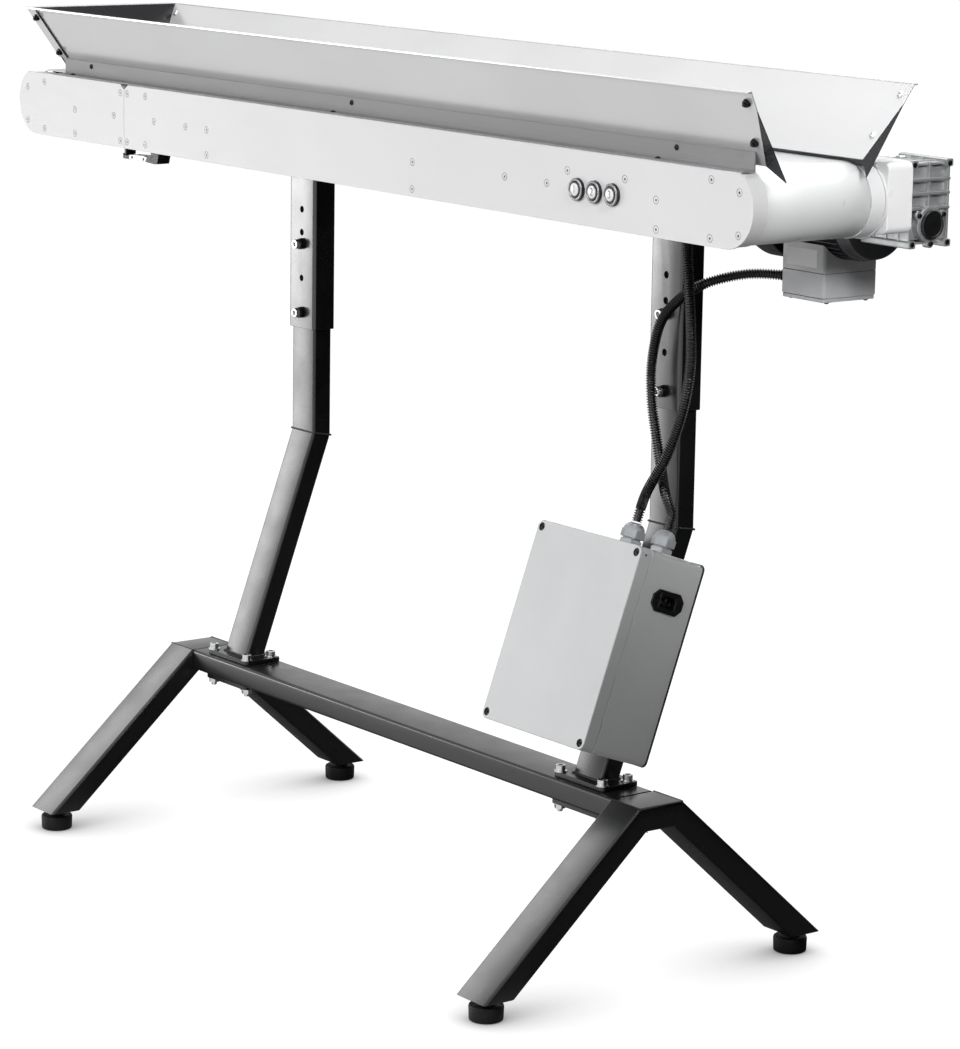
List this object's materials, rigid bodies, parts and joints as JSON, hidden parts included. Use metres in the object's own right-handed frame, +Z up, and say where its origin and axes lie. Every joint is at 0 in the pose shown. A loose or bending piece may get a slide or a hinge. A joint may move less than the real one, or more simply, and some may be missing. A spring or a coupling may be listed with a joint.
{
  "type": "belt conveyor",
  "caption": "Belt conveyor with a sheet-metal hopper, worm-gear motor, control box and push buttons, on a height-adjustable steel trestle stand.",
  "frame": {"origin": "on the floor, under the middle of the whole object's length and width", "axes": "+X along the belt towards the drive end, +Y towards the motor side, +Z up; the push buttons face -Y"},
  "size_m": [1.6206, 0.531, 1.1213],
  "materials": {
    "black_powder_coat": "satin",
    "black_rubber": "matte",
    "zinc_steel": "satin",
    "satin_plate": "satin",
    "frame_aluminium": "satin",
    "hopper_stainless": "polished satin",
    "belt_grey": "gloss",
    "cast_aluminium": "cast",
    "motor_grey": "satin",
    "terminal_grey": "satin",
    "box_grey": "satin",
    "gland_grey": "satin",
    "black_plastic": "satin",
    "button_white": "gloss",
    "board_green": "matte",
    "bronze": "satin"
  },
  "bodies": {
    "stand": {"crossbeam": "black_powder_coat", "left_trestle": "black_powder_coat", "right_trestle": "black_powder_coat", "left_lower_post": "black_powder_coat", "right_lower_post": "black_powder_coat", "left_base_clamp": "zinc_steel", "right_base_clamp": "zinc_steel", "control_box_base": "box_grey", "control_box_lid": "box_grey", "control_board": "board_green", "button_gland": "gland_grey", "motor_gland": "gland_grey", "power_inlet": "black_plastic", "button_conduit": "black_plastic", "motor_conduit": "black_plastic"},
    "lift": {"left_sleeve": "black_powder_coat", "right_sleeve": "black_powder_coat", "left_upper_clamp_screw": "zinc_steel", "left_lower_clamp_screw": "zinc_steel", "right_upper_clamp_screw": "zinc_steel", "right_lower_clamp_screw": "zinc_steel", "front_side_plate": "satin_plate", "rear_side_plate": "satin_plate", "front_frame": "frame_aluminium", "rear_frame": "frame_aluminium", "slider_bed": "frame_aluminium", "belt": "belt_grey", "front_drum_bearing": "zinc_steel", "rear_drum_bearing": "zinc_steel", "drive_block": "satin_plate", "gearbox_housing": "cast_aluminium", "motor_housing": "motor_grey", "fan_cowl": "motor_grey", "terminal_box": "terminal_grey", "terminal_box_lid": "terminal_grey", "terminal_gland": "gland_grey", "button_bezel_1": "zinc_steel", "button_bezel_2": "zinc_steel", "button_bezel_3": "zinc_steel"},
    "left_front_foot": {"left_front_foot": "black_rubber"},
    "left_rear_foot": {"left_rear_foot": "black_rubber"},
    "right_front_foot": {"right_front_foot": "black_rubber"},
    "right_rear_foot": {"right_rear_foot": "black_rubber"},
    "drum": {"drive_drum": "zinc_steel", "worm_wheel": "bronze"},
    "motor": {"motor_rotor": "zinc_steel", "worm": "zinc_steel", "cooling_fan": "black_plastic"},
    "tail": {"tail_front_cheek": "satin_plate", "tail_rear_cheek": "satin_plate", "tail_bed": "frame_aluminium", "tail_axle": "zinc_steel"},
    "tail_roller": {"tail_roller": "zinc_steel"},
    "push_button_1": {"push_button_1": "button_white"},
    "push_button_2": {"push_button_2": "button_white"},
    "push_button_3": {"push_button_3": "button_white"},
    "hopper": {"hopper_front_wall": "hopper_stainless", "hopper_rear_wall": "hopper_stainless", "hopper_end_wall": "hopper_stainless"},
    "latch": {"latch_lever": "zinc_steel"}
  },
  "joints": [
    {"name": "height_adjust", "type": "slide", "parent": "stand", "child": "lift", "axis": [0, 0, 1], "range_m": [-0.064, 0.096], "deforming": ["button_conduit", "motor_conduit"]},
    {"name": "left_front_foot_level", "type": "slide", "parent": "stand", "child": "left_front_foot", "axis": [0, 0, 1], "range_m": [-0.008, 0]},
    {"name": "left_rear_foot_level", "type": "slide", "parent": "stand", "child": "left_rear_foot", "axis": [0, 0, 1], "range_m": [-0.008, 0]},
    {"name": "right_front_foot_level", "type": "slide", "parent": "stand", "child": "right_front_foot", "axis": [0, 0, 1], "range_m": [-0.008, 0]},
    {"name": "right_rear_foot_level", "type": "slide", "parent": "stand", "child": "right_rear_foot", "axis": [0, 0, 1], "range_m": [-0.008, 0]},
    {"name": "drum_spin", "type": "hinge", "parent": "lift", "child": "drum", "pos_m": [0.749, -0.005, 0.987], "axis": [0, 1, 0], "continuous": true},
    {"name": "motor_spin", "type": "hinge", "parent": "lift", "child": "motor", "pos_m": [0.7022, 0.1686, 0.9565], "axis": [1, 0, 0], "continuous": true},
    {"name": "hopper_lift", "type": "slide", "parent": "lift", "child": "hopper", "axis": [0, 0, 1], "range_m": [0, 0.16]},
    {"name": "tail_fold", "type": "hinge", "parent": "lift", "child": "tail", "pos_m": [-0.5255, -0.005, 1.021], "axis": [0, 1, 0], "range_deg": [0, 25], "deforming": ["belt"]},
    {"name": "tail_roller_spin", "type": "hinge", "parent": "tail", "child": "tail_roller", "pos_m": [-0.764, -0.005, 0.987], "axis": [0, 1, 0], "continuous": true},
    {"name": "latch_open", "type": "hinge", "parent": "lift", "child": "latch", "pos_m": [-0.452, -0.0932, 0.9315], "axis": [0, -1, 0], "range_deg": [0, 100]},
    {"name": "button_1_press", "type": "slide", "parent": "lift", "child": "push_button_1", "axis": [0, 1, 0], "range_m": [0, 0.0018], "stiffness_N_per_m": 500, "springref_m": -0.001},
    {"name": "button_2_press", "type": "slide", "parent": "lift", "child": "push_button_2", "axis": [0, 1, 0], "range_m": [0, 0.0018], "stiffness_N_per_m": 500, "springref_m": -0.001},
    {"name": "button_3_press", "type": "slide", "parent": "lift", "child": "push_button_3", "axis": [0, 1, 0], "range_m": [0, 0.0018], "stiffness_N_per_m": 500, "springref_m": -0.001}
  ],
  "couplings": [
    {"joint": "motor_spin", "follows": "drum_spin", "ratio": 20},
    {"joint": "tail_roller_spin", "follows": "drum_spin", "ratio": 1},
    {"joint": "tail_fold", "follows": "hopper_lift", "rad_per_m": 2.727},
    {"joint": "latch_open", "follows": "hopper_lift", "rad_per_m": 10.908}
  ]
}
